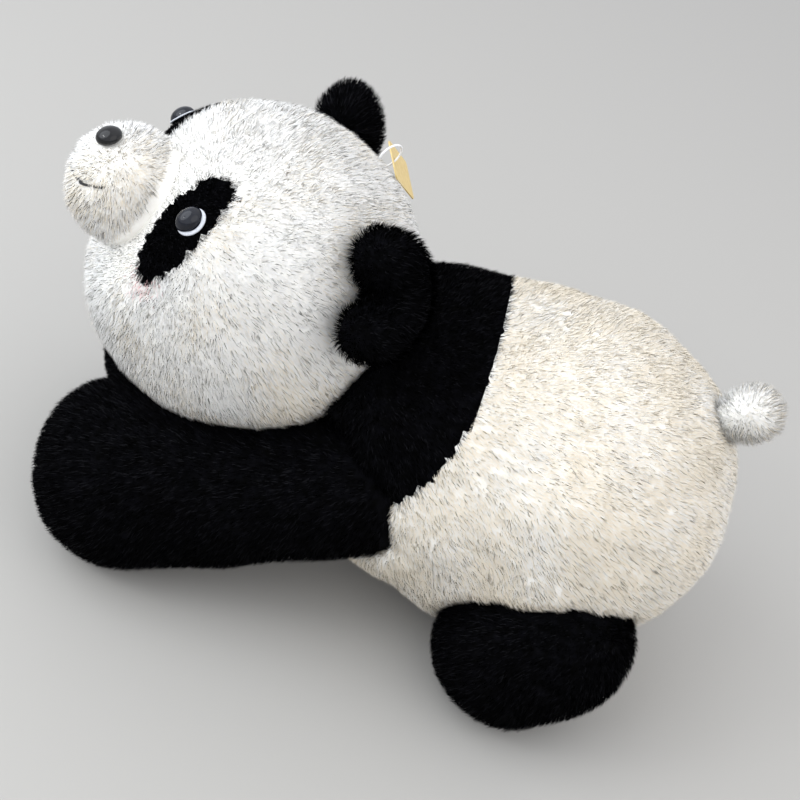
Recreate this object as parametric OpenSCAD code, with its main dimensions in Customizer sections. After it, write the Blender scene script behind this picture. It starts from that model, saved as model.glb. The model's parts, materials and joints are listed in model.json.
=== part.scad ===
// Plush panda lying on its belly, head turned a little to its left.
// It faces -Y, its left side is +X, and the floor is z = 0.
// Every stuffed piece is a fabric skin around its own stuffing. The skins are drawn at the
// backing of the pile, so the fur stands outside these solids.

/* [Trunk] */
// Radius of the stuffed rump
rump_r = 145; // [138:1:148]
// Radius of the stuffed chest
chest_r = 130; // [124:1:134]
// Radius of the belly, which rests on the floor
belly_r = 137; // [136:1:140]
// Thickness of the fabric with its backing
cloth = 3; // [2:0.5:4]

/* [Head] */
// Radius of the stuffed head
head_r = 125; // [120:1:127]
// How far the face is turned to the panda's left, in degrees
head_turn = 21; // [12:1:24]
// How far the face is tipped up, in degrees
head_tip = 22; // [16:1:24]
// Radius of the muzzle ball
muzzle_r = 43; // [40:1:46]
// Distance of the muzzle's centre from the head's centre
muzzle_out = 121; // [116:1:124]
// Angle of the muzzle above the head's forward axis
muzzle_up = 7; // [2:1:9]

/* [Face] */
// Radius of the nose
nose_r = 9; // [7:0.5:11]
// How far the nose dome stands out
nose_dome = 7; // [5:0.5:9]
// Angle of the nose above the muzzle's own forward axis
nose_up = 38; // [32:1:40]
// How far the soft muzzle's face is pushed round to the panda's left, in degrees
nose_side = 8; // [0:1:10]
// Radius of an eye
eye_r = 10; // [8:0.5:12]
// How far an eye dome stands out
eye_dome = 6; // [4:0.5:8]
// Sideways angle of an eye on the head
eye_side = 37; // [36:1:40]
// Upward angle of an eye on the head
eye_up = 23; // [21:1:26]
// Length of an eye patch
patch_l = 91; // [84:1:98]
// Width of an eye patch
patch_w = 39; // [34:1:40]

/* [Ears] */
// Height of an ear above the head
ear_h = 51; // [47:1:60]
// Thickness of an ear's padded wall
ear_t = 42; // [34:1:46]
// Radius that the ear's wall is cupped to
ear_bend = 28; // [25:1:34]
// Sideways angle of an ear on the head
ear_side = 114; // [111:1:117]
// Upward angle of an ear on the head
ear_up = 36; // [33:1:39]

/* [Limbs and tail] */
// Radius of an arm at the shoulder
shoulder_r = 58; // [54:1:60]
// Radius of an arm at the paw
paw_r = 77; // [72:1:77]
// Radius of a leg at the hip
hip_r = 68; // [62:1:68]
// Radius of a foot
foot_r = 61; // [56:1:61]
// Radius of the tail's ball
tail_r = 21; // [18:1:26]

/* [Hang tag] */
// Width of the hang tag
tag_w = 34; // [28:1:40]
// Length of the hang tag
tag_l = 48; // [40:1:56]

/* [Hidden] */
$fn = 84;
arc_steps = 8;
// Gap of the seam between the muzzle and the head
seam = 0.3;
// Running gap between a moving piece and the socket it turns in
gap = 1;
// Gap between the trunk's stuffing and its skin
fill_gap = 0.2;
// Balls that shape the trunk
rump = [0, 139, 157];
chest = [0, 26, 162];
belly = [0, 112, belly_r - 1];
head = [0, -142, 252];
// Centres of the left shoulder and of the left paw, which lies on the floor
shoulder = [74, -9, 145];
paw = [80, -191, paw_r];
// The arms can be spread by arm_spread, which sweeps a paw across twice spread_room
arm_spread = 20;
spread_step = 10;
spread_room = 36;
step_room = 0.04;
// Hip ball's centre, the foot's centre as an offset from it, and room for the foot to swing
hip = [106, 172, 80];
foot = [12, -26, foot_r - 80];
hip_gap = 2;
foot_room = 8;
// Angle of the tail above the horizontal, and distances of its root and ball from the rump's centre
tail_up = 44;
tail_root_r = 14;
tail_root_out = rump_r + 2;
tail_out = rump_r + 25;
// Room around the tail's root ball, so that the widening tail can wag
tail_gap = 3;
// The shoulder band's rear edge is an arc seen from the side
band_edge_r = 180;
band_edge = [52, 285];
// Ear wall: half its sweep and its gap above the head, and the root ball it turns on
ear_sweep = 70;
ear_lift = 5;
ear_bulge = 0.8;
ear_root_r = 12;
// Push-on washers and shanks of the eyes and the nose
shank_r = 2.5;
shank_l = 17;
washer_r = 11;
washer_t = 3;
washer_sag = 2.2;
// White rim behind an eye
rim_r = eye_r + 2;
rim_t = 1.5;
// Eye patch: its centre on the head and its lean
patch_side = eye_side - 3;
patch_up = eye_up - 5;
patch_lean = 4;
patch_step = 15;
// Thread of the embroidered mouth, an arc around the nose
thread_r = 0.9;
smile_out = 52;
smile_sweep = 65;
// Hang tag, behind the right ear
tag_t = 1;
tag_hole_r = 2.5;
tag_margin = 5;
tag_corner_r = 4;
tag_side = 147;
tag_up = 68;
tag_lean = 25;
loop_r = 11;
loop_wire_r = 0.8;
// Side of a cube larger than the whole toy
world = 900;

// --- Shared shapes ---

// Points of an arc of radius r about [0, z], from angle a to angle b
function arc(r, z, a, b) =
    [for (i = [0:arc_steps]) let(t = a + (b - a) * i / arc_steps) [r * cos(t), z + r * sin(t)]];

// The same without its last point
function part_arc(r, z, a, b) =
    [for (i = [0:arc_steps - 1]) let(t = a + (b - a) * i / arc_steps) [r * cos(t), z + r * sin(t)]];

// Half outline of a round bar with ball ends, r1 at 0 and r2 at l, tapering between them
function bar_outline(r1, r2, l) =
    let(t = asin((r1 - r2) / l)) concat(arc(r1, 0, -90, t), arc(r2, l, t, 90));

// A round bar with ball ends, from a ball at p to a ball at q
module bar(p, r1, q, r2) {
    v = q - p;
    l = norm(v);
    translate(p)
        rotate([0, acos(v.z / l), atan2(v.y, v.x)])
            rotate_extrude()
                polygon(bar_outline(r1, r2, l));
}

// The head's own frame: forward is still -Y, up is +Z, the origin is its centre
module in_head() {
    translate(head)
        rotate([-head_tip, 0, head_turn])
            children();
}

// Stands its children, +Z outwards, on a ball at a sideways and an upward angle
module facing(side, up, out) {
    rotate([-up, 0, side])
        translate([0, -out, 0])
            rotate([90, 0, 0])
                children();
}

module in_muzzle() {
    in_head()
        rotate([-muzzle_up, 0, 0])
            translate([0, -muzzle_out, 0])
                children();
}

module left_or_right(left) {
    if (left) children();
    else mirror([1, 0, 0]) children();
}

// --- Left arm, left leg and tail, each drawn smaller or larger by grow ---

module arm_bar(grow, room) {
    bar(shoulder, shoulder_r + grow, paw, paw_r + grow + room);
}

// Turns its children about the upright axis of the left shoulder, outwards by angle a
module spread(a) {
    translate(shoulder)
        rotate(a)
            translate(-shoulder)
                children();
}

// The space that the head takes out of the left arm, which is pressed hollow under it
module head_room() {
    for (a = [0:spread_step:arm_spread])
        spread(-a)
            translate(head) sphere(head_r + gap + a * step_room);
}

module leg_bar(grow, room) {
    bar(hip, hip_r + grow, hip + foot, foot_r + grow + room);
}

function tail_point(out) = rump + out * [0, cos(tail_up), sin(tail_up)];

module tail(grow) {
    bar(tail_point(tail_root_out), tail_root_r + grow, tail_point(tail_out), tail_r + grow);
}

// --- Trunk: one stuffed shape, hollowed where the head, arms, legs and tail are sewn on ---

module trunk_form(inset) {
    difference() {
        union() {
            bar(rump, rump_r - inset, chest, chest_r - inset);
            translate(belly) sphere(belly_r - inset);
        }
        translate([-world / 2, -world / 2, inset - world])
            cube(world);
    }
}

// The spaces that the head, arms, legs and tail take out of the trunk
module sockets() {
    translate(head) sphere(head_r + gap);
    for (left = [true, false])
        left_or_right(left) {
            spread(arm_spread / 2) arm_bar(gap, spread_room);
            leg_bar(hip_gap, foot_room);
        }
    translate(tail_point(tail_root_out))
        sphere(tail_root_r + tail_gap);
}

module trunk_cloth() {
    difference() {
        trunk_form(0);
        trunk_form(cloth);
        sockets();
    }
}

// Everything in front of the band's rear edge
module band_region() {
    translate([-world / 2, band_edge[0] - band_edge_r, band_edge[1]])
        rotate([0, 90, 0])
            cylinder(r = band_edge_r, h = world, $fn = 180);
}

module trunk_skin() {
    color("ivory")
        difference() {
            trunk_cloth();
            band_region();
        }
}

module shoulder_band() {
    color("#141416")
        intersection() {
            trunk_cloth();
            band_region();
        }
}

module trunk_stuffing() {
    color("white")
        difference() {
            trunk_form(cloth + fill_gap);
            sockets();
        }
}

// --- Head and muzzle ---

// Oval column that cuts an eye patch out of the head's skin
module patch_column(left) {
    left_or_right(left)
        facing(patch_side, patch_up, head_r / 2)
            rotate(patch_lean)
                linear_extrude(head_r)
                    polygon([
                        for (a = [0:patch_step:360 - patch_step])
                            [patch_w / 2 * cos(a), patch_l / 2 * sin(a)]
                    ]);
}

module eye_hole(left) {
    left_or_right(left)
        facing(eye_side, eye_up, head_r - shank_l)
            cylinder(r = shank_r, h = shank_l * 2);
}

module head_shell() {
    difference() {
        sphere(head_r);
        sphere(head_r - cloth);
        for (left = [true, false]) {
            eye_hole(left);
            left_or_right(left)
                facing(ear_side, ear_up, head_r)
                    sphere(ear_root_r + gap);
        }
    }
}

module head_skin() {
    color("ivory")
        in_head()
            difference() {
                head_shell();
                for (left = [true, false]) patch_column(left);
            }
}

module eye_patch(left) {
    color("#17171a")
        in_head()
            intersection() {
                head_shell();
                patch_column(left);
            }
}

module head_stuffing() {
    color("white")
        in_head()
            difference() {
                sphere(head_r - cloth);
                for (left = [true, false])
                    left_or_right(left) {
                        facing(eye_side, eye_up, head_r - shank_l)
                            cylinder(r = washer_r, h = shank_l * 2);
                        facing(ear_side, ear_up, head_r)
                            sphere(ear_root_r + gap);
                    }
            }
}

// The muzzle is a ball standing on the head; these give its half outlines about its own axis,
// and the angle at which a ball of radius r meets the head's skin
seat_r = head_r + seam;
function seat_z(r) = (muzzle_out * muzzle_out + seat_r * seat_r - r * r) / (2 * muzzle_out);
function rim(r) = asin((seat_z(r) - muzzle_out) / r);
function seat_rim(r) = asin(seat_z(r) / seat_r);

module on_muzzle_axis() {
    in_head()
        facing(0, muzzle_up, 0)
            children();
}

// Stands its children on the muzzle where the nose is
module at_nose(out) {
    in_muzzle()
        facing(nose_side, nose_up, out)
            children();
}

module nose_hole(r) {
    at_nose(muzzle_r - shank_l)
        cylinder(r = r, h = shank_l * 2);
}

module muzzle_skin() {
    inner = muzzle_r - cloth;
    color("oldlace")
        difference() {
            on_muzzle_axis()
                rotate_extrude()
                    polygon(concat(
                        arc(muzzle_r, muzzle_out, rim(muzzle_r), 90),
                        arc(inner, muzzle_out, 90, rim(inner))
                    ));
            nose_hole(shank_r);
        }
}

module muzzle_stuffing() {
    inner = muzzle_r - cloth;
    color("white")
        difference() {
            on_muzzle_axis()
                rotate_extrude()
                    polygon(concat(
                        arc(inner, muzzle_out, rim(inner), 90),
                        part_arc(seat_r, 0, 90, seat_rim(inner))
                    ));
            nose_hole(washer_r);
        }
}

// --- Eyes and nose: a dome on a shank, held inside by a push-on washer ---

// Dome of radius r and height h, standing on z = 0
module dome(r, h) {
    ball_r = (r * r + h * h) / (2 * h);
    intersection() {
        translate([0, 0, h - ball_r]) sphere(ball_r);
        cylinder(r = r, h = h);
    }
}

module button(r, h) {
    dome(r, h);
    translate([0, 0, -shank_l])
        cylinder(r = shank_r, h = shank_l);
}

module washer() {
    difference() {
        cylinder(r = washer_r, h = washer_t);
        translate([0, 0, -washer_t])
            cylinder(r = shank_r, h = 3 * washer_t);
    }
}

module at_eye(left, out) {
    in_head()
        left_or_right(left)
            facing(eye_side, eye_up, head_r + out)
                children();
}

module eye(left) {
    color("#20242c")
        at_eye(left, rim_t)
            button(eye_r, eye_dome);
}

module eye_rim(left) {
    color("white")
        at_eye(left, 0)
            difference() {
                cylinder(r = rim_r, h = rim_t);
                translate([0, 0, -rim_t])
                    cylinder(r = shank_r, h = 3 * rim_t);
            }
}

module eye_washer(left) {
    color("gray")
        at_eye(left, -cloth - washer_t - washer_sag)
            washer();
}

module nose() {
    color("#0c0c0e")
        at_nose(muzzle_r)
            button(nose_r, nose_dome);
}

module nose_washer() {
    color("gray")
        at_nose(muzzle_r - cloth - washer_t - washer_sag)
            washer();
}

// An embroidered smile: an arc of thread lying on the muzzle, around the nose
module mouth_stitch() {
    color("black")
        at_nose(muzzle_r * cos(smile_out))
            rotate(-90 - smile_sweep)
                rotate_extrude(angle = 2 * smile_sweep)
                    translate([muzzle_r * sin(smile_out), 0]) circle(thread_r, $fn = 24);
}

// --- Ears: a cupped, padded wall on a root ball, open towards the face ---

// Half outline of an upright post with a round top
function post_outline(r, bottom, top) =
    concat([[0, bottom], [r, bottom]], arc(r, top, 0, 90));

module ear_wall(inset) {
    r = ear_t / 2 - inset;
    bottom = ear_lift + inset;
    top = ear_h - ear_t / 2;
    translate([-ear_bend, 0, 0]) {
        rotate(-ear_sweep)
            rotate_extrude(angle = 2 * ear_sweep)
                translate([ear_bend, 0])
                    polygon(concat([[-r, bottom], [r, bottom]], arc(r, top, 0, 180)));
        for (end = [-ear_sweep, ear_sweep])
            rotate(end)
                translate([ear_bend, 0, 0])
                    rotate_extrude()
                        polygon(post_outline(r + ear_bulge, bottom - ear_bulge, top));
    }
}

module at_ear(left) {
    in_head()
        left_or_right(left)
            facing(ear_side, ear_up, head_r)
                children();
}

module ear_skin(left) {
    color("#141418")
        at_ear(left)
            difference() {
                union() {
                    ear_wall(0);
                    sphere(ear_root_r);
                }
                ear_wall(cloth);
            }
}

module ear_padding(left) {
    color("white")
        at_ear(left)
            ear_wall(cloth);
}

// --- Limb and tail skins with their stuffing ---

module arm_skin(left) {
    color("#141416")
        left_or_right(left)
            difference() {
                arm_bar(0, 0);
                arm_bar(-cloth, 0);
                head_room();
            }
}

module arm_stuffing(left) {
    color("white")
        left_or_right(left)
            difference() {
                arm_bar(-cloth, 0);
                head_room();
            }
}

module leg_skin(left) {
    color("#141416")
        left_or_right(left)
            difference() {
                leg_bar(0, 0);
                leg_bar(-cloth, 0);
            }
}

module leg_stuffing(left) {
    color("white")
        left_or_right(left) leg_bar(-cloth, 0);
}

module tail_skin() {
    color("ivory")
        difference() {
            tail(0);
            tail(-cloth);
        }
}

module tail_stuffing() {
    color("white") tail(-cloth);
}

// --- Hang tag on its plastic loop, behind the right ear ---

module at_tag() {
    in_head()
        facing(-tag_side, tag_up, head_r)
            children();
}

module tag_loop() {
    color("whitesmoke")
        at_tag()
            translate([0, 0, loop_r - loop_wire_r])
                rotate([0, 90, 0])
                    rotate_extrude()
                        translate([loop_r, 0]) circle(loop_wire_r, $fn = 24);
}

// A plate of width w, length l and thickness t with its corners rounded to radius r
module plate(w, l, t, r) {
    translate([r, 0, 0]) cube([w - 2 * r, l, t]);
    translate([0, r, 0]) cube([w, l - 2 * r, t]);
    for (x = [r, w - r], y = [r, l - r])
        translate([x, y, 0]) cylinder(r = r, h = t);
}

// The card hangs from the loop's lower side, along the back of the head, one edge standing off it
module hang_tag() {
    color("goldenrod")
        at_tag()
            translate([0, -loop_r, loop_r - loop_wire_r])
                rotate([0, -tag_lean, 0])
                    difference() {
                        translate([-tag_w / 2, tag_margin - tag_l, -tag_t / 2])
                            plate(tag_w, tag_l, tag_t, tag_corner_r);
                        translate([0, 0, -tag_t])
                            cylinder(r = tag_hole_r, h = 2 * tag_t);
                    }
}

trunk_skin();
shoulder_band();
trunk_stuffing();
head_skin();
head_stuffing();
muzzle_skin();
muzzle_stuffing();
nose();
nose_washer();
mouth_stitch();
eye_patch(true);  // left_eye_patch
eye_patch(false);  // right_eye_patch
eye(true);  // left_eye
eye(false);  // right_eye
eye_rim(true);  // left_eye_rim
eye_rim(false);  // right_eye_rim
eye_washer(true);  // left_eye_washer
eye_washer(false);  // right_eye_washer
ear_skin(true);  // left_ear_skin
ear_skin(false);  // right_ear_skin
ear_padding(true);  // left_ear_padding
ear_padding(false);  // right_ear_padding
arm_skin(true);  // left_arm_skin
arm_skin(false);  // right_arm_skin
arm_stuffing(true);  // left_arm_stuffing
arm_stuffing(false);  // right_arm_stuffing
leg_skin(true);  // left_leg_skin
leg_skin(false);  // right_leg_skin
leg_stuffing(true);  // left_leg_stuffing
leg_stuffing(false);  // right_leg_stuffing
tail_skin();
tail_stuffing();
hang_tag();
tag_loop();
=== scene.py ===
"""A plush panda lying on its belly, dressed over the CAD frame.

Every stuffed piece is a remeshed, inflated skin, and the pile on it is real mesh: one tapering blade
for each strand. Eyes, nose, mouth thread, hang tag and washers come after the fur.
"""

import json
import math

import bpy
import numpy as np
from mathutils import Matrix, Vector
from mathutils.bvhtree import BVHTree


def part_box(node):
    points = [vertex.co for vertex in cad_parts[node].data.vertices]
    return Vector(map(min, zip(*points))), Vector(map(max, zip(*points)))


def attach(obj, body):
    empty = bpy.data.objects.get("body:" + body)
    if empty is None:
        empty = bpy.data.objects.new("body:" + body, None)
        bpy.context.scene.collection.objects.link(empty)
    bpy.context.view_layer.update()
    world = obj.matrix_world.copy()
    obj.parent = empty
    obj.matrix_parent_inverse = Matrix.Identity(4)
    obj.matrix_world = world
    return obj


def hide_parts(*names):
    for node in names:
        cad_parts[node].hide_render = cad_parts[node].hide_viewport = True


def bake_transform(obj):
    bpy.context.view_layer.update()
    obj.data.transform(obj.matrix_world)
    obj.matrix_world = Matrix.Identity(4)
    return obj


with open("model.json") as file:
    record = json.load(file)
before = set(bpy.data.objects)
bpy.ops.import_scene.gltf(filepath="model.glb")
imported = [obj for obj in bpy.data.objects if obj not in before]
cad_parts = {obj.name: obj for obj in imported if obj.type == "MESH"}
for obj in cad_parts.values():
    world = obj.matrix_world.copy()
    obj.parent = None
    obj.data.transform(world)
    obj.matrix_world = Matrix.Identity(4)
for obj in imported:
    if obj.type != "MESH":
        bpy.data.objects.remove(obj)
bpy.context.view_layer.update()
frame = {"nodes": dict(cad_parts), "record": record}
rng = np.random.default_rng(11)
SIDES = ("left", "right")
MM = 0.001
# Thickness of the fabric, and the least gap between a skin and the floor or a neighbour's skin
CLOTH = 3 * MM
FLOOR_GAP = 0.4 * MM
SKIN_GAP = 0.8 * MM


# --- Where things are, read from the frame ---

JOINTS = {joint["name"]: joint for joint in frame["record"]["behaviour"]["joints"]}


def joint_point(name):
    return np.array(JOINTS[name]["pos_m"], float)


def joint_axis(name):
    return np.array(JOINTS[name]["axis"], float)


def corners(node):
    low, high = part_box(node)
    return np.array(low, float), np.array(high, float)


def middle(node):
    low, high = corners(node)
    return (low + high) / 2


def unit(v):
    v = np.asarray(v, float)
    return v / np.maximum(np.linalg.norm(v, axis=-1, keepdims=True), 1e-12)


def points_of(node):
    mesh = frame["nodes"][node].data
    co = np.empty(len(mesh.vertices) * 3)
    mesh.vertices.foreach_get("co", co)
    return co.reshape(-1, 3)


def fitted_ball(points):
    """Centre and radius of the ball that fits the points best."""
    a = np.hstack([2 * points, np.ones((len(points), 1))])
    x = np.linalg.lstsq(a, (points ** 2).sum(1), rcond=None)[0]
    return x[:3], math.sqrt(x[3] + x[:3] @ x[:3])


def muzzle_ball():
    """Centre and radius of the muzzle's skin, from the part of its stuffing that is off the head."""
    points = points_of("muzzle_stuffing")
    off_head = np.linalg.norm(points - HEAD, axis=1) > HEAD_R + 2 * MM
    centre, radius = fitted_ball(points[off_head])
    return centre, radius + CLOTH


HEAD = joint_point("head_nod")
HEAD_R = float(np.ptp(corners("head_skin"), axis=0)[0]) / 2
MUZZLE, MUZZLE_R = muzzle_ball()
# The head's own directions: SIDE is the panda's left, FORWARD runs through the muzzle, which sits
# MUZZLE_LIFT degrees above the face's middle
SIDE = unit(joint_axis("head_nod"))
FORWARD = unit(MUZZLE - HEAD)
UP = np.cross(FORWARD, SIDE)
MUZZLE_LIFT = 7


def on_head(side, up):
    """Point on the head at a sideways and an upward angle, in degrees."""
    s, u, lift = (math.radians(angle) for angle in (side, up, MUZZLE_LIFT))
    forward = FORWARD * math.cos(lift) - UP * math.sin(lift)
    above = UP * math.cos(lift) + FORWARD * math.sin(lift)
    ahead = forward * math.cos(s) + SIDE * math.sin(s)
    return HEAD + HEAD_R * (ahead * math.cos(u) + above * math.sin(u))


def on_ball(node, centre, radius):
    """Where a small node sits on the surface of a ball."""
    return centre + unit(middle(node) - centre) * radius


EYES = {side: on_ball(side + "_eye", HEAD, HEAD_R) for side in SIDES}
NOSE = on_ball("nose", MUZZLE, MUZZLE_R)


# --- Meshes from arrays ---

def mesh_object(name, verts, tris, materials, slots=None, normals=None):
    """A mesh object from arrays of vertices and triangles."""
    mesh = bpy.data.meshes.new(name)
    mesh.vertices.add(len(verts))
    mesh.vertices.foreach_set("co", np.asarray(verts, np.float32).ravel())
    mesh.loops.add(len(tris) * 3)
    mesh.loops.foreach_set("vertex_index", np.asarray(tris, np.int32).ravel())
    mesh.polygons.add(len(tris))
    mesh.polygons.foreach_set("loop_start", np.arange(0, len(tris) * 3, 3, dtype=np.int32))
    mesh.update(calc_edges=True)
    for material in materials:
        mesh.materials.append(material)
    if slots is not None:
        mesh.polygons.foreach_set("material_index", np.asarray(slots, np.int32))
    mesh.polygons.foreach_set("use_smooth", np.full(len(tris), True))
    if normals is not None:
        attribute = mesh.attributes.new("custom_normal", "FLOAT_VECTOR", "POINT")
        attribute.data.foreach_set("vector", np.asarray(normals, np.float32).ravel())
    obj = bpy.data.objects.new(name, mesh)
    bpy.context.scene.collection.objects.link(obj)
    return obj


def arrays_of(obj):
    """Vertices, triangles and vertex normals of an object, modifiers included."""
    graph = bpy.context.evaluated_depsgraph_get()
    mesh = obj.evaluated_get(graph).to_mesh()
    mesh.calc_loop_triangles()
    verts = np.empty(len(mesh.vertices) * 3)
    mesh.vertices.foreach_get("co", verts)
    normals = np.empty(len(mesh.vertices) * 3)
    mesh.vertices.foreach_get("normal", normals)
    tris = np.empty(len(mesh.loop_triangles) * 3, np.int32)
    mesh.loop_triangles.foreach_get("vertices", tris)
    return verts.reshape(-1, 3), tris.reshape(-1, 3), normals.reshape(-1, 3)


def tree_of(node):
    """A tree for finding the nearest point of a CAD node."""
    mesh = frame["nodes"][node].data
    mesh.calc_loop_triangles()
    return BVHTree.FromPolygons(
        [v.co for v in mesh.vertices], [tuple(t.vertices) for t in mesh.loop_triangles]
    )


def distances(points, tree):
    return np.array([tree.find_nearest(Vector(p))[3] for p in points])


def lathe(profile, segments):
    """Vertices and triangles of an outline of (radius, height) pairs turned about Z."""
    verts = []
    for r, z in profile:
        for i in range(segments):
            a = 2 * math.pi * i / segments
            verts.append((r * math.cos(a), r * math.sin(a), z))
    tris = []
    for row in range(len(profile) - 1):
        for i in range(segments):
            j = (i + 1) % segments
            a, b = row * segments + i, row * segments + j
            c, d = a + segments, b + segments
            tris += [(a, b, d), (a, d, c)]
    return np.array(verts, float), np.array(tris)


def standing(verts, origin, outward, upward):
    """Turns vertices so that +Z points outward and +Y as near upward as it can."""
    z = unit(outward)
    x = unit(np.cross(upward, z))
    y = np.cross(z, x)
    return np.asarray(verts) @ np.array([x, y, z]) + origin


# --- Materials ---

def plain(name, colour, roughness, specular=0.5):
    """A material of one colour."""
    material = bpy.data.materials.new(name)
    material.use_nodes = True
    shader = material.node_tree.nodes["Principled BSDF"]
    shader.inputs["Base Color"].default_value = (*colour, 1)
    shader.inputs["Roughness"].default_value = roughness
    shader.inputs["Specular IOR Level"].default_value = specular
    return material


def mottled(name, dark, light, scale, roughness, bump, specular=0.5):
    """A procedural material whose colour and relief wander with noise."""
    material = plain(name, dark, roughness, specular)
    nodes, links = material.node_tree.nodes, material.node_tree.links
    shader = nodes["Principled BSDF"]
    where = nodes.new("ShaderNodeTexCoord")
    noise = nodes.new("ShaderNodeTexNoise")
    noise.inputs["Scale"].default_value = scale
    noise.inputs["Detail"].default_value = 6
    ramp = nodes.new("ShaderNodeValToRGB")
    ramp.color_ramp.elements[0].position = 0.35
    ramp.color_ramp.elements[0].color = (*dark, 1)
    ramp.color_ramp.elements[1].position = 0.65
    ramp.color_ramp.elements[1].color = (*light, 1)
    relief = nodes.new("ShaderNodeBump")
    relief.inputs["Strength"].default_value = bump
    relief.inputs["Distance"].default_value = MM
    links.new(where.outputs["Object"], noise.inputs["Vector"])
    links.new(noise.outputs["Fac"], ramp.inputs["Fac"])
    links.new(ramp.outputs["Color"], shader.inputs["Base Color"])
    links.new(noise.outputs["Fac"], relief.inputs["Height"])
    links.new(relief.outputs["Normal"], shader.inputs["Normal"])
    return material


CREAM_BACKING = mottled("cream_backing", (0.90, 0.88, 0.83), (0.95, 0.94, 0.90), 120, 0.95, 0.4)
BLACK_BACKING = mottled("black_backing", (0.001, 0.001, 0.001), (0.003, 0.003, 0.004), 120, 0.95, 0.4, 0.02)
WHITES = [
    plain("pile_white", (0.96, 0.96, 0.95), 0.8, specular=0.2),
    plain("pile_ivory", (0.96, 0.94, 0.90), 0.8, specular=0.2),
    plain("pile_cream", (0.95, 0.87, 0.73), 0.8, specular=0.2),
    plain("pile_pink", (0.96, 0.62, 0.62), 0.8, specular=0.2),
]
BLACKS = [
    plain("pile_black", (0.0012, 0.0012, 0.0014), 0.8, specular=0.0),
    plain("pile_soot", (0.0025, 0.0025, 0.003), 0.7, specular=0.01),
    plain("pile_ash", (0.008, 0.008, 0.010), 0.6, specular=0.06),
]
FUR_MATERIALS = WHITES + BLACKS
WHITE, IVORY, CREAM, PINK, BLACK, SOOT, ASH = range(len(FUR_MATERIALS))
EYE_GLOSS = mottled("eye_gloss", (0.004, 0.005, 0.009), (0.008, 0.010, 0.016), 200, 0.08, 0.0, 0.35)
NOSE_GLOSS = mottled("nose_gloss", (0.003, 0.003, 0.004), (0.006, 0.006, 0.007), 200, 0.12, 0.03, 0.35)
RIM_FELT = mottled("rim_felt", (0.45, 0.47, 0.52), (0.60, 0.62, 0.66), 900, 0.9, 0.3)
THREAD = mottled("thread", (0.01, 0.01, 0.01), (0.03, 0.03, 0.03), 2500, 0.8, 0.5)
WASHER = mottled("washer", (0.50, 0.50, 0.50), (0.60, 0.60, 0.60), 400, 0.5, 0.1)
TAG_GOLD = mottled("tag_gold", (0.62, 0.45, 0.16), (0.70, 0.53, 0.22), 300, 0.4, 0.15)
LOOP_CLEAR = mottled("loop_clear", (0.80, 0.80, 0.80), (0.90, 0.90, 0.90), 300, 0.3, 0.05)


# --- Stuffed skins ---

# Smoothing passes after the remeshing
ROUNDING = 6
# Length of the inflation, the furthest it moves a point, and the smoothing passes after it
SIM_FRAMES = 12
MOST_SWELL = 3 * MM
SOFTENING = 14
# Distance over which a skin's dents change
DENT_WAVE = 90 * MM


def ripples(points, wave, seed, count=10):
    """Smooth noise of about unit strength that changes over a distance of wave."""
    local = np.random.default_rng(seed)
    k = unit(local.normal(size=(count, 3))) * 2 * math.pi / wave * local.uniform(0.6, 1.6, (count, 1))
    phase = local.uniform(0, 2 * math.pi, count)
    return np.sin(points @ k.T + phase).sum(1) / math.sqrt(count / 2)


def ripple_vectors(points, wave, seed):
    return np.stack([ripples(points, wave, seed + i) for i in range(3)], 1)


def modify(obj, kind, **values):
    modifier = obj.modifiers.new(kind.lower(), kind)
    for key, value in values.items():
        setattr(modifier, key, value)
    return modifier


def apply_modifiers(obj):
    graph = bpy.context.evaluated_depsgraph_get()
    mesh = bpy.data.meshes.new_from_object(obj.evaluated_get(graph))
    obj.modifiers.clear()
    obj.data = mesh


def inflate(obj):
    """Fills the cloth with air for a moment, moving no point further than MOST_SWELL."""
    scene = bpy.context.scene
    before = np.empty(len(obj.data.vertices) * 3)
    obj.data.vertices.foreach_get("co", before)
    cloth = modify(obj, "CLOTH")
    cloth.settings.quality = 4
    cloth.settings.use_pressure = True
    cloth.settings.uniform_pressure_force = 4
    cloth.settings.effector_weights.gravity = 0
    cloth.settings.tension_stiffness = 15
    cloth.settings.bending_stiffness = 2
    cloth.collision_settings.use_collision = False
    cloth.point_cache.frame_start = 1
    cloth.point_cache.frame_end = SIM_FRAMES
    for number in range(1, SIM_FRAMES + 1):
        scene.frame_set(number)
    apply_modifiers(obj)
    scene.frame_set(1)
    after = np.empty(len(before))
    obj.data.vertices.foreach_get("co", after)
    move = (after - before).reshape(-1, 3)
    length = np.linalg.norm(move, axis=1, keepdims=True)
    move *= np.minimum(1, MOST_SWELL / np.maximum(length, 1e-9))
    obj.data.vertices.foreach_set("co", (before.reshape(-1, 3) + move).ravel())
    obj.data.update()
    modify(obj, "SMOOTH", factor=0.5, iterations=SOFTENING)
    apply_modifiers(obj)


def keep_clear(points, stuffings):
    """Moves points that come too near a neighbour's cloth, or into it, back out of it."""
    room = CLOTH + SKIN_GAP
    for node in stuffings:
        tree = tree_of(node)
        low, high = corners(node)
        close = ((points > low - room) & (points < high + room)).all(1)
        for i in np.flatnonzero(close):
            place, normal, _, _ = tree.find_nearest(Vector(points[i]))
            if (Vector(points[i]) - place).dot(normal) < room:
                points[i] = place + normal * room
    return points


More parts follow.
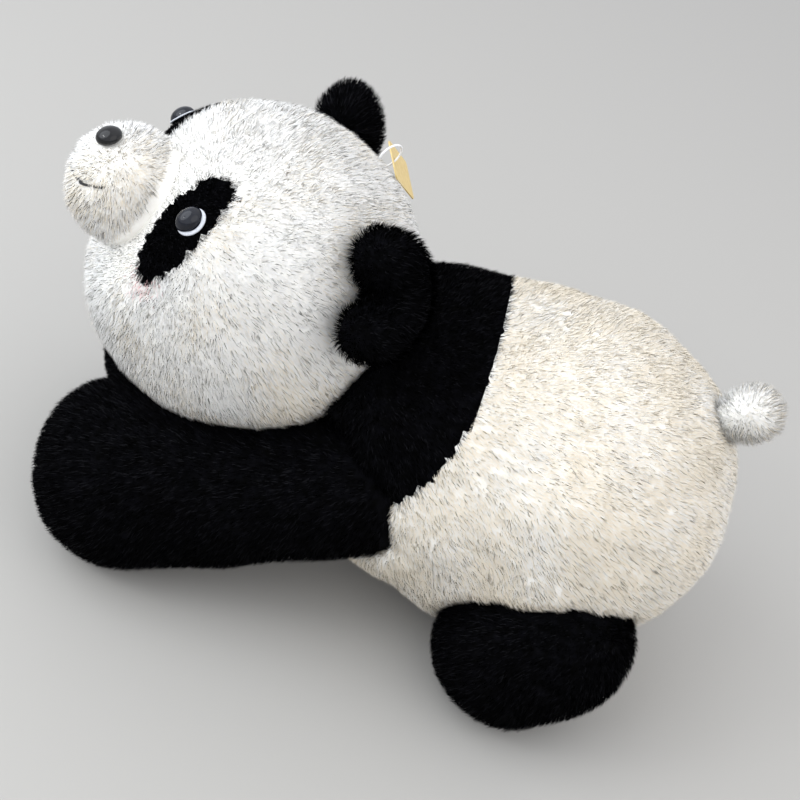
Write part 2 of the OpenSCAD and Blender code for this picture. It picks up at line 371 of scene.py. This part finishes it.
def skin(name, verts, tris, grow, voxel, dents, material, beside=(), shape=None):
    """A closed stuffed skin: a solid remeshed, smoothed, shaped, dented a little and inflated.

    grow is how far it stands outside the solid, dents how deep its dents are, and beside names the
    stuffings that it stays clear of.
    """
    obj = mesh_object(name, verts, tris, [material])
    modify(obj, "REMESH", mode="VOXEL", voxel_size=voxel)
    modify(obj, "SMOOTH", factor=0.5, iterations=ROUNDING)
    apply_modifiers(obj)
    obj.data.materials.clear()
    obj.data.materials.append(material)
    points, _, normals = arrays_of(obj)
    if shape is not None:
        points = shape(points)
    shift = grow + dents * ripples(points, DENT_WAVE, len(name))
    points = points + normals * shift[:, None]
    points[:, 2] = np.maximum(points[:, 2], FLOOR_GAP)
    obj.data.vertices.foreach_set("co", points.ravel())
    obj.data.update()
    inflate(obj)
    points, _, _ = arrays_of(obj)
    points = keep_clear(points, beside)
    points[:, 2] = np.maximum(points[:, 2], FLOOR_GAP)
    obj.data.vertices.foreach_set("co", points.ravel())
    obj.data.polygons.foreach_set("use_smooth", np.full(len(obj.data.polygons), True))
    obj.data.update()
    return obj


def skin_of(node, name, grow, voxel, dents, material, beside=()):
    """A stuffed skin around a CAD node."""
    mesh = frame["nodes"][node].data
    mesh.calc_loop_triangles()
    tris = np.empty(len(mesh.loop_triangles) * 3, np.int32)
    mesh.loop_triangles.foreach_get("vertices", tris)
    return skin(name, points_of(node), tris.reshape(-1, 3), grow, voxel, dents, material, beside)


def paint(obj, material, chosen):
    """Gives a second material to the faces whose middles are chosen."""
    obj.data.materials.append(material)
    centres = np.array([face.center for face in obj.data.polygons])
    obj.data.polygons.foreach_set("material_index", chosen(centres).astype(np.int32))
    obj.data.update()


def smooth_step(x, low, high):
    """0 up to low, 1 from high on, and a smooth slope between."""
    t = np.clip((x - low) / (high - low), 0, 1)
    return t * t * (3 - 2 * t)


def degrees_from(directions, axis):
    """Angles between unit directions and a unit axis."""
    return np.degrees(np.arccos(np.clip(directions @ axis, -1, 1)))


def ball(centre, radius, rows=40):
    """Vertices and triangles of a ball."""
    profile = [
        (radius * math.sin(math.pi * i / rows), radius * math.cos(math.pi * i / rows))
        for i in range(rows + 1)
    ]
    verts, tris = lathe(profile[::-1], 2 * rows)
    return verts + centre, tris


# --- Fur ---

# Strands for a square metre of skin, and the pile's length
CREAM_DENSITY = 950_000
MUZZLE_DENSITY = CREAM_DENSITY * 1.1
BLACK_DENSITY = 620_000
EAR_DENSITY = BLACK_DENSITY * 1.1
PATCH_DENSITY = BLACK_DENSITY * 2.4
PILE = 7 * MM
PATCH_PILE = 6 * MM
LONG_PILE = 8 * MM
# Shortest and longest blade as shares of the pile's length, and how much a blade's place changes it
BLADE_LENGTHS = (0.6, 1.1)
LENGTH_WANDER = 0.05
LENGTH_WAVE = 14 * MM
# A blade's width at its root, and its width half way as a share of that
BLADE_WIDTH = 0.42 * MM
BLADE_NARROWING = 0.8
# How far a root goes into the skin, and the least height of the rest of a blade over the floor
ROOT_DEPTH = 0.5 * MM
BLADE_FLOOR = 0.5 * MM
# How much a blade leans with the brushing at its root and at its tip, and strays by itself
ROOT_LEAN = 0.8
TIP_LEAN = 1.9
STRAY = 0.17
# Tufts: how far apart they are, how strongly they turn the blades, and how much more the tips
SMALL_TUFT = 12 * MM
SMALL_TURN = 0.06
LARGE_TUFT = 30 * MM
LARGE_TURN = 0.08
TIP_TURN = 1.6
# How much of a blade's own direction its shading takes on
BLADE_SHADE = 0.22
# Most strands in one object
MAX_STRANDS = 62000
# A blade is three triangles on five points: two at the root, two half way, and the tip
BLADE_POINTS = 5
BLADE_FACES = np.array([[0, 1, 3], [0, 3, 2], [2, 3, 4]])


def scattered(skin_obj, density):
    """Random points on a skin, with the skin's normals there."""
    verts, tris, normals = arrays_of(skin_obj)
    a, b, c = (verts[tris[:, i]] for i in range(3))
    area = np.linalg.norm(np.cross(b - a, c - a), axis=1) / 2
    count = int(area.sum() * density)
    pick = rng.choice(len(tris), count, p=area / area.sum())
    u, v = rng.random(count), rng.random(count)
    flip = u + v > 1
    u[flip], v[flip] = 1 - u[flip], 1 - v[flip]
    weights = np.stack([1 - u - v, u, v], 1)
    points = np.einsum("ij,ijk->ik", weights, verts[tris[pick]])
    return points, unit(np.einsum("ij,ijk->ik", weights, normals[tris[pick]]))


def fur(name, skin_obj, density, length, comb, tones, finish, lean, keep=None):
    """Grows curved, tapering blades on a skin.

    comb(points, normals) gives the way the pile is brushed, tones(points) the material of each
    blade, keep(points, normals) a length factor, 0 where nothing grows, and finish(obj) says what
    each object of the pile rides on.
    """
    root, up = scattered(skin_obj, density)
    factor = np.ones(len(root)) if keep is None else keep(root, up)
    alive = factor > 0
    root, up, factor = root[alive], up[alive], factor[alive]
    brushed = comb(root, up)
    brushed = unit(brushed - up * (brushed * up).sum(1, keepdims=True))
    tuft = ripple_vectors(root, SMALL_TUFT, 50) * SMALL_TURN
    tuft += ripple_vectors(root, LARGE_TUFT, 90) * LARGE_TURN
    stray = rng.normal(size=root.shape) * STRAY
    start = unit(up + brushed * lean * ROOT_LEAN + tuft + stray)
    end = unit(up + brushed * lean * TIP_LEAN + tuft * TIP_TURN + stray)
    wander = 1 + LENGTH_WANDER * ripples(root, LENGTH_WAVE, 5)
    long = length * factor * rng.uniform(*BLADE_LENGTHS, len(root)) * wander
    half_way = root + start * (long * 0.5)[:, None]
    tip = half_way + end * (long * 0.5)[:, None]
    tip[:, 2] = np.maximum(tip[:, 2], BLADE_FLOOR)
    half_way[:, 2] = np.maximum(half_way[:, 2], BLADE_FLOOR)
    across = unit(np.cross(start, up + rng.normal(size=root.shape) * 0.5)) * (BLADE_WIDTH / 2)
    narrow = across * BLADE_NARROWING
    root = root - up * ROOT_DEPTH
    blade = np.stack([root - across, root + across, half_way - narrow, half_way + narrow, tip], 1)
    shade = unit(up + BLADE_SHADE * end)
    slots = tones(root)
    objects = []
    pieces = max(1, math.ceil(len(root) / MAX_STRANDS))
    for number in range(pieces):
        part = slice(number, None, pieces)
        first = np.arange(len(root[part]))[:, None, None] * BLADE_POINTS
        obj = mesh_object(
            name if pieces == 1 else f"{name}_{number + 1}",
            blade[part].reshape(-1, 3),
            (first + BLADE_FACES).reshape(-1, 3),
            FUR_MATERIALS,
            np.repeat(slots[part], len(BLADE_FACES)),
            np.repeat(shade[part], BLADE_POINTS, axis=0),
        )
        finish(obj)
        objects.append(obj)
    return objects


# How much the share of cream wanders, over what distance, and how much it grows toward one side
CREAM_WANDER = 0.14
CREAM_WAVE = 70 * MM
CREAM_SLOPE = 0.25
# Shares of the pile that are ivory, ash and soot, and a blush's reach and strength
IVORY_SHARE = 0.4
ASH_SHARE = 0.12
SOOT_SHARE = 0.38
BLUSH_REACH = 10 * MM
BLUSH_SHARE = 0.55


def white_tones(cream, cheeks=(), centre=None, toward=None):
    """Picks white, ivory or cream; the share of cream wanders, and grows toward one side."""
    def pick(points):
        mix = cream + CREAM_WANDER * ripples(points, CREAM_WAVE, 21)
        if toward is not None:
            mix = mix + CREAM_SLOPE * unit(points - centre) @ toward
        chance = rng.random(len(points))
        slots = np.where(chance < mix, CREAM, np.where(chance < mix + IVORY_SHARE, IVORY, WHITE))
        for cheek in cheeks:
            blush = np.exp(-((np.linalg.norm(points - cheek, axis=1) / BLUSH_REACH) ** 2))
            slots = np.where(rng.random(len(points)) < blush * BLUSH_SHARE, PINK, slots)
        return slots
    return pick


def black_tones(points):
    chance = rng.random(len(points))
    return np.where(chance < ASH_SHARE, ASH, np.where(chance < ASH_SHARE + SOOT_SHARE, SOOT, BLACK))


def away_from(centre):
    return lambda points, normals: points - centre


def along(direction):
    return lambda points, normals: np.tile(np.asarray(direction, float), (len(points), 1))


# --- Stuffed pieces and their fur ---

LIMB_STUFFINGS = tuple(f"{side}_{limb}_stuffing" for limb in ("arm", "leg") for side in SIDES)
trees = {
    node: tree_of(node)
    for node in (
        "trunk_skin", "trunk_stuffing", "shoulder_band", "left_eye_patch", "right_eye_patch", *LIMB_STUFFINGS,
    )
}


def clear_of(obj, nodes, room):
    """The vertices of obj that are outside these nodes and further than room from them."""
    points, _, _ = arrays_of(obj)
    ok = np.ones(len(points), bool)
    for node in nodes:
        for i in np.flatnonzero(ok):
            place, normal, _, distance = trees[node].find_nearest(Vector(points[i]))
            outside = (Vector(points[i]) - place).dot(normal) > 0
            ok[i] = outside and distance > room
    return points[ok]


def near(points, node, most):
    """Which points are within most of a node."""
    return np.array([trees[node].find_nearest(Vector(p), most)[0] is not None for p in points])


class Grid:
    """Quick test whether points lie near any of a set of points."""

    def __init__(self, points, cell):
        self.cell = cell
        self.keys = set(map(tuple, np.floor(points / cell).astype(int)))

    def has(self, points):
        return np.array([tuple(k) in self.keys for k in np.floor(points / self.cell).astype(int)])


# Cells wider than a skin's voxels, so that open skin leaves few of them empty
OPEN_CELL = 9 * MM


def uncovered(obj, nodes, room):
    """A keep function that grows nothing where obj is covered by these nodes."""
    grid = Grid(clear_of(obj, nodes, room), OPEN_CELL)
    return lambda points, normals: grid.has(points).astype(float)


# Voxel sizes of the large and of the small skins
COARSE = 6 * MM
FINE = 4 * MM
TRUNK_NEIGHBOURS = ("head_stuffing", *LIMB_STUFFINGS, "tail_stuffing")
trunk = skin_of("trunk_stuffing", "trunk", CLOTH, COARSE, dents=1.5 * MM, material=CREAM_BACKING,
                beside=TRUNK_NEIGHBOURS)
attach(trunk, "trunk")
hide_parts("trunk_skin", "trunk_stuffing")

# The crease around the muzzle, and the cheeks' bulges; angles are in degrees
CREASE_DEPTH = 13 * MM
CREASE_ENDS = (22, 35)
CHEEK_BULGE = 6 * MM
BULGE_SIDE = 22
BULGE_UP = -36
BULGE_SPREAD = 17


def head_shape(points):
    """Draws the head in around the muzzle and rounds out the cheeks below the eyes."""
    out = unit(points - HEAD)
    change = -CREASE_DEPTH * (1 - smooth_step(degrees_from(out, FORWARD), *CREASE_ENDS))
    for side in (-BULGE_SIDE, BULGE_SIDE):
        bulge = unit(on_head(side, BULGE_UP) - HEAD)
        change += CHEEK_BULGE * np.exp(-(degrees_from(out, bulge) / BULGE_SPREAD) ** 2)
    return points + out * change[:, None]


head_verts, head_tris = ball(HEAD, HEAD_R)
head = skin("head", head_verts, head_tris, 0, COARSE, dents=0.8 * MM, material=CREAM_BACKING,
            beside=("left_arm_stuffing", "right_arm_stuffing"), shape=head_shape)
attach(head, "head")
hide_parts("head_skin", "head_stuffing", "left_eye_patch", "right_eye_patch")

muzzle_verts, muzzle_tris = ball(MUZZLE, MUZZLE_R)
muzzle = skin("muzzle", muzzle_verts, muzzle_tris, 0, FINE, dents=0.6 * MM, material=CREAM_BACKING)
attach(muzzle, "head")
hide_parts("muzzle_skin", "muzzle_stuffing")


# The trunk's pile: cream behind the band's edge, black in front of it

# Height up to which the belly stays bare, where the toy lies on it, and the bare gap under the head
BELLY_BARE = 4 * MM
HEAD_GAP = 4 * MM
trunk_open = uncovered(trunk, LIMB_STUFFINGS, 5 * MM)


def off_the_head(points):
    return np.linalg.norm(points - HEAD, axis=1) > HEAD_R + HEAD_GAP


def band_side(points):
    """True where a point of the trunk belongs to the black band."""
    return distances(points, trees["shoulder_band"]) < distances(points, trees["trunk_skin"])


def trunk_keep(black):
    def keep(points, normals):
        factor = trunk_open(points, normals) * off_the_head(points) * (points[:, 2] > BELLY_BARE)
        some = np.flatnonzero(factor > 0)
        factor[some] *= band_side(points[some]) == black
        return factor
    return keep


def riding(body):
    def finish(obj):
        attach(obj, body)
    return finish


paint(trunk, BLACK_BACKING, band_side)
fur("trunk_fur", trunk, CREAM_DENSITY, PILE, along((0, 0.7, -0.25)), white_tones(0.8),
    riding("trunk"), lean=0.9, keep=trunk_keep(False))
band_fur = fur("band_fur", trunk, BLACK_DENSITY, PILE, along((0, 0.6, -0.4)), black_tones,
               riding("trunk"), lean=0.8, keep=trunk_keep(True))
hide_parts("shoulder_band")

# The head's pile is brushed back from the face; the eye patches are shorter and black

# Bare distances around an eye and an ear
EYE_CLEAR = 10.5 * MM
EAR_CLEAR = 4 * MM
# Where the blush is, in degrees on the head
CHEEK_SIDE = 38
CHEEK_UP = -4
# How far black and cream mix at a patch's edge, and a distance from the eye that no patch goes past
EDGE_MIX = 1.4 * MM
PATCH_REACH = 70 * MM
# Share of the pile's length in the crease, and the angles between which it grows to full length
CREASE_PILE = 0.4
CREASE_PILE_ENDS = (20, 40)


def patch_at(points):
    """True where a point of the head lies over an eye patch."""
    mixed = points + rng.normal(size=points.shape) * EDGE_MIX
    over = HEAD + unit(mixed - HEAD) * (HEAD_R - CLOTH / 2)
    found = np.zeros(len(points), bool)
    for side, eye in EYES.items():
        some = np.flatnonzero(np.linalg.norm(over - eye, axis=1) < PATCH_REACH)
        found[some] |= near(over[some], side + "_eye_patch", CLOTH / 2 + 0.3 * MM)
    return found


def head_keep(black):
    def keep(points, normals):
        factor = patch_at(points) == black
        factor &= np.linalg.norm(points - MUZZLE, axis=1) > MUZZLE_R + 1 * MM
        for eye in EYES.values():
            factor &= np.linalg.norm(points - eye, axis=1) > EYE_CLEAR
        some = np.flatnonzero(factor)
        for tree in ear_trees:
            far = [tree.find_nearest(Vector(p), EAR_CLEAR)[0] is None for p in points[some]]
            factor[some] &= np.array(far)
        crease = smooth_step(degrees_from(unit(points - HEAD), FORWARD), *CREASE_PILE_ENDS)
        return factor * (CREASE_PILE + (1 - CREASE_PILE) * crease)
    return keep


ear_trees = [tree_of(side + "_ear_skin") for side in SIDES]
cheeks = [on_head(CHEEK_SIDE, CHEEK_UP), on_head(-CHEEK_SIDE, CHEEK_UP)]
paint(head, BLACK_BACKING, patch_at)
fur("head_fur", head, CREAM_DENSITY, PILE, away_from(MUZZLE), white_tones(0.15, cheeks, HEAD, -FORWARD),
    riding("head"), lean=0.7, keep=head_keep(False))
fur("patch_fur", head, PATCH_DENSITY, PATCH_PILE, away_from(MUZZLE), black_tones,
    riding("head"), lean=1.0, keep=head_keep(True))

# The muzzle's pile leaves room for the nose, and is cut short over one stretch of the mouth,
# MOUTH_SHOWS to the left of the nose

NOSE_CLEAR = 7.5 * MM
MOUTH_PILE = 0.3
MOUTH_SHOWS = (19 * MM, 24 * MM)
mouth_points = points_of("mouth_stitch")
mouth_aside = (mouth_points - NOSE) @ SIDE
mouth_end = mouth_points[(mouth_aside > MOUTH_SHOWS[0]) & (mouth_aside < MOUTH_SHOWS[1])]
mouth_grid = Grid(mouth_end, 2.5 * MM)


def muzzle_keep(points, normals):
    factor = (np.linalg.norm(points - HEAD, axis=1) > HEAD_R - 1 * MM).astype(float)
    factor *= np.linalg.norm(points - NOSE, axis=1) > NOSE_CLEAR
    factor *= np.where(mouth_grid.has(points), MOUTH_PILE, 1)
    return factor


fur("muzzle_fur", muzzle, MUZZLE_DENSITY, PILE, away_from(NOSE),
    white_tones(0.15, centre=MUZZLE, toward=SIDE), riding("head"), lean=0.7, keep=muzzle_keep)


# --- Arms, legs, ears and tail ---

# How far back into the trunk from its joint, and how far out along an arm or a leg, the two points given to
# each limb lie
BEND_BACK = 20 * MM
ARM_BEND = 60 * MM
LEG_BEND = 50 * MM


def bending():
    def finish(obj):
        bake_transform(obj)
    return finish


def limb(name, joint, comb, start, end):
    """A black arm or leg with its pile; start and end are not used."""
    obj = skin_of(name + "_stuffing", name, CLOTH, COARSE, dents=1.5 * MM, material=BLACK_BACKING,
                  beside=("head_stuffing",))
    keep = uncovered(obj, ("trunk_stuffing",), 4 * MM)

    def open_keep(points, normals):
        return keep(points, normals) * off_the_head(points)

    finish = bending()
    fur(name + "_fur", obj, BLACK_DENSITY, PILE, comb, black_tones, finish, lean=0.8, keep=open_keep)
    finish(obj)
    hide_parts(name + "_skin", name + "_stuffing")


# The arms' pile hangs down a little
DROOP = np.array([0, 0, -0.2])
for side in SIDES:
    shoulder = joint_point(side + "_arm_spread")
    reach = unit(middle(side + "_arm_stuffing") - shoulder)
    limb(side + "_arm", side + "_arm_spread", along(reach + DROOP),
         shoulder - reach * BEND_BACK, shoulder + reach * ARM_BEND)
    hip = joint_point(side + "_leg_swing")
    stump = unit(middle(side + "_leg_stuffing") - hip)
    limb(side + "_leg", side + "_leg_swing", along(stump), hip - stump * BEND_BACK, hip + stump * LEG_BEND)

for side in SIDES:
    base = joint_point(side + "_ear_fold")
    out = unit(base - HEAD)
    ear = skin_of(side + "_ear_padding", side + "_ear", 2.5 * MM, FINE, dents=0.8 * MM,
                  material=BLACK_BACKING)
    finish = bending()
    fur(side + "_ear_fur", ear, EAR_DENSITY, LONG_PILE, along(out), black_tones, finish, lean=0.8)
    finish(ear)
    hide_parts(side + "_ear_skin", side + "_ear_padding")

TAIL_ROOT = joint_point("tail_wag")
tail_out = unit(middle("tail_stuffing") - TAIL_ROOT)
tail = skin_of("tail_stuffing", "tail", CLOTH, FINE, dents=0.5 * MM, material=CREAM_BACKING)
finish = bending()
fur("tail_fur", tail, CREAM_DENSITY, LONG_PILE, along(tail_out), white_tones(0.2), finish, lean=0.3)
finish(tail)
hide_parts("tail_skin", "tail_stuffing")


# --- Eyes, nose and mouth ---

SHANK_R = 2.5 * MM
SHANK_L = 17 * MM
# Thickness of a button's edge, and how far the edge stands off the ball
BUTTON_EDGE = 1.5 * MM
BUTTON_LIFT = 3 * MM
TURN_STEPS = 56


def button(name, node, centre, ball_r, radius, height, squeeze, material):
    """A glossy dome on its shank, standing on a ball in place of a CAD button."""
    out = unit(middle(node) - centre)
    rows = 14
    dome = [
        (radius * math.cos(math.pi / 2 * i / rows), height * math.sin(math.pi / 2 * i / rows))
        for i in range(rows + 1)
    ]
    foot = [
        (0, -SHANK_L),
        (SHANK_R, -SHANK_L),
        (SHANK_R, -BUTTON_EDGE),
        (radius * 0.97, -BUTTON_EDGE),
    ]
    verts, tris = lathe(foot + [(radius, 0)] + dome[1:], TURN_STEPS)
    verts[:, 0] *= squeeze
    place = centre + out * (ball_r + BUTTON_LIFT)
    obj = mesh_object(name, standing(verts, place, out, UP), tris, [material])
    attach(obj, "head")
    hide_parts(node)


RIM_INNER = 8 * MM
RIM_OUTER = 10.8 * MM
# How far a rim stands off the head, and how far it is moved back from the eye's middle
RIM_LIFT = 2.6 * MM
RIM_SHIFT = 1.2 * MM


def eye_rim(side):
    """The pale felt rim, which shows as a crescent behind the eye."""
    out = unit(middle(side + "_eye_rim") - HEAD)
    outline = [
        (RIM_INNER, 0),
        (RIM_OUTER, 0),
        (RIM_OUTER + 0.4 * MM, 0.5 * MM),
        (RIM_OUTER - 0.2 * MM, 1.2 * MM),
        (RIM_INNER, 1.4 * MM),
        (RIM_INNER, 0),
    ]
    verts, tris = lathe(outline, TURN_STEPS)
    verts[:, 0] *= 0.8
    behind = unit(np.cross(UP, out)) * (1 if side == "left" else -1)
    place = HEAD + out * (HEAD_R + RIM_LIFT) + behind * RIM_SHIFT
    rim = mesh_object(side + "_eye_rim_felt", standing(verts, place, out, UP), tris, [RIM_FELT])
    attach(rim, "head")
    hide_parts(side + "_eye_rim")


for side in SIDES:
    button(side + "_eye_dome", side + "_eye", HEAD, HEAD_R, radius=10.5 * MM, height=7.5 * MM, squeeze=0.76,
           material=EYE_GLOSS)
    eye_rim(side)
button("nose_button", "nose", MUZZLE, MUZZLE_R, radius=9.5 * MM, height=6.5 * MM, squeeze=0.9,
       material=NOSE_GLOSS)

# The mouth's thread lies at the roots of the pile, and rises through it over the stretch MOUTH_SHOWS

MOUTH_LOW = 0.2 * MM
MOUTH_HIGH = 3 * MM


def mouth_rise(points):
    """How each point of the thread is lifted off the muzzle."""
    aside = (points - NOSE) @ SIDE
    starts, ends = (smooth_step(aside, edge - 2 * MM, edge + 1 * MM) for edge in MOUTH_SHOWS)
    shows = starts * (1 - ends)
    lift = MOUTH_LOW + (MOUTH_HIGH - MOUTH_LOW) * shows
    return unit(points - MUZZLE) * lift[:, None]


mouth_mesh = frame["nodes"]["mouth_stitch"].data
mouth_mesh.calc_loop_triangles()
mouth_tris = np.array([tuple(t.vertices) for t in mouth_mesh.loop_triangles])
mouth_thread = mesh_object("mouth_thread", mouth_points + mouth_rise(mouth_points), mouth_tris, [THREAD])
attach(mouth_thread, "head")
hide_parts("mouth_stitch")


# --- Hang tag, its loop and the hidden washers ---

def repaint(node, material):
    data = frame["nodes"][node].data
    data.materials.clear()
    data.materials.append(material)


for node in ("nose_washer", "left_eye_washer", "right_eye_washer"):
    repaint(node, WASHER)
repaint("tag_loop", LOOP_CLEAR)
repaint("hang_tag", TAG_GOLD)


# --- Stage, light and camera ---

# What the lights face, and half the floor's width, both in metres
TARGET = (0, 0, 0.15)
FLOOR_HALF = 30


def area_light(name, place, size, power, colour):
    """A round light that faces the toy; size in metres, power in watts."""
    data = bpy.data.lights.new(name, "AREA")
    data.shape = "DISK"
    data.size = size
    data.energy = power
    data.color = colour
    obj = bpy.data.objects.new(name, data)
    bpy.context.scene.collection.objects.link(obj)
    obj.location = place
    obj.rotation_euler = (Vector(TARGET) - Vector(place)).to_track_quat("-Z", "Y").to_euler()
    return obj


floor_material = plain("studio_floor", (0.38, 0.37, 0.35), 0.9)
floor_corners = [(x * FLOOR_HALF, y * FLOOR_HALF, 0) for x, y in ((-1, -1), (1, -1), (1, 1), (-1, 1))]
floor = mesh_object("studio_floor", floor_corners, [(0, 1, 2), (0, 2, 3)], [floor_material])

area_light("window", (0.6, -1.5, 1.6), 2.4, 34, (0.90, 0.95, 1.0))
area_light("room", (1.3, 1.2, 1.5), 2.2, 8, (1.0, 0.95, 0.88))
area_light("top", (-0.4, 0.1, 2.0), 2.2, 3, (1.0, 0.98, 0.95))
glint = area_light("glint", (0.66, -1.2, 1.15), 0.4, 3, (1.0, 1.0, 1.0))
glint.data.shape = "RECTANGLE"
glint.data.size_y = 0.07
world = bpy.data.worlds.new("studio")
bpy.context.scene.world = world
world.use_nodes = True
world.node_tree.nodes["Background"].inputs["Color"].default_value = (0.93, 0.95, 1.0, 1)
world.node_tree.nodes["Background"].inputs["Strength"].default_value = 1.3

AZIMUTH, ELEVATION, ROLL = (math.radians(angle) for angle in (88, 38, 20))
CAMERA_PLACE = (0.780, -0.029, 0.784)
camera_data = bpy.data.cameras.new("camera")
camera_data.lens = 54
camera_data.sensor_width = 36
camera = bpy.data.objects.new("camera", camera_data)
bpy.context.scene.collection.objects.link(camera)
back = Vector((
    math.sin(AZIMUTH) * math.cos(ELEVATION),
    -math.cos(AZIMUTH) * math.cos(ELEVATION),
    math.sin(ELEVATION),
))
level = Vector((0, 0, 1)).cross(back).normalized()
rise = back.cross(level)
right = level * math.cos(ROLL) + rise * math.sin(ROLL)
up = rise * math.cos(ROLL) - level * math.sin(ROLL)
turn = Matrix((right, up, back)).transposed()
camera.matrix_world = Matrix.Translation(CAMERA_PLACE) @ turn.to_4x4()
bpy.context.scene.camera = camera
bpy.context.scene.view_settings.view_transform = "Standard"
